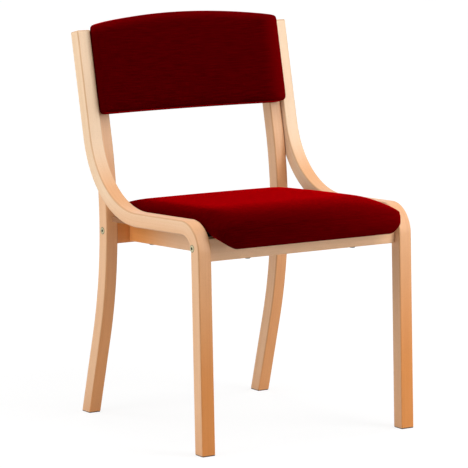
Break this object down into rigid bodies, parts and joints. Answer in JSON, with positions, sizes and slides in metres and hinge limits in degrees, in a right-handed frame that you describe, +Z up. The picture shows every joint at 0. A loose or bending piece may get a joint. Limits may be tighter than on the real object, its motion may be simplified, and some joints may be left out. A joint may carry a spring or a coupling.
{
  "type": "conference chair",
  "caption": "Four-leg conference chair with bent laminated beech side frames, curved rear legs, an upholstered waterfall seat and a curved upholstered back.",
  "frame": {"origin": "on the floor, under the middle of the chair's bounding box", "axes": "+Z up, +Y towards the back of the chair, -Y towards the front of the seat, X across the chair"},
  "size_m": [0.5242, 0.5396, 0.8409],
  "materials": {
    "laminated_beech": "satin",
    "solid_beech": "satin",
    "plywood": "matte",
    "foam": "matte",
    "red_fabric": "matte",
    "black_lining": "matte",
    "brassed_steel": "satin",
    "zinc_steel": "satin",
    "brown_plastic": "matte"
  },
  "bodies": {
    "root": {"back_board": "plywood", "back_cover": "red_fabric", "back_foam": "foam", "barrel_nut_front_left": "zinc_steel", "barrel_nut_front_right": "zinc_steel", "barrel_nut_rear_left": "zinc_steel", "barrel_nut_rear_right": "zinc_steel", "bolt_front_left": "brassed_steel", "bolt_front_right": "brassed_steel", "bolt_rear_left": "brassed_steel", "bolt_rear_right": "brassed_steel", "dowel_front_rail_left": "solid_beech", "dowel_front_rail_right": "solid_beech", "dowel_rear_rail_left": "solid_beech", "dowel_rear_rail_right": "solid_beech", "dowel_side_front_left": "solid_beech", "dowel_side_front_right": "solid_beech", "dowel_side_rear_left": "solid_beech", "dowel_side_rear_right": "solid_beech", "dowel_upright_lower_left": "solid_beech", "dowel_upright_lower_right": "solid_beech", "dowel_upright_upper_left": "solid_beech", "dowel_upright_upper_right": "solid_beech", "front_rail": "solid_beech", "glide_front_left": "brown_plastic", "glide_front_right": "brown_plastic", "glide_rear_left": "brown_plastic", "glide_rear_right": "brown_plastic", "insert_back_lower_left": "zinc_steel", "insert_back_lower_right": "zinc_steel", "insert_back_upper_left": "zinc_steel", "insert_back_upper_right": "zinc_steel", "insert_seat_front_left": "zinc_steel", "insert_seat_front_right": "zinc_steel", "insert_seat_rear_left": "zinc_steel", "insert_seat_rear_right": "zinc_steel", "rear_leg_left": "laminated_beech", "rear_leg_right": "laminated_beech", "rear_rail": "solid_beech", "screw_back_lower_left": "zinc_steel", "screw_back_lower_right": "zinc_steel", "screw_back_upper_left": "zinc_steel", "screw_back_upper_right": "zinc_steel", "screw_seat_front_left": "zinc_steel", "screw_seat_front_right": "zinc_steel", "screw_seat_rear_left": "zinc_steel", "screw_seat_rear_right": "zinc_steel", "seat_board": "plywood", "seat_cover": "red_fabric", "seat_foam": "foam", "seat_lining": "black_lining", "side_bend_left": "laminated_beech", "side_bend_right": "laminated_beech", "side_rail_left": "solid_beech", "side_rail_right": "solid_beech"}
  },
  "joints": []
}
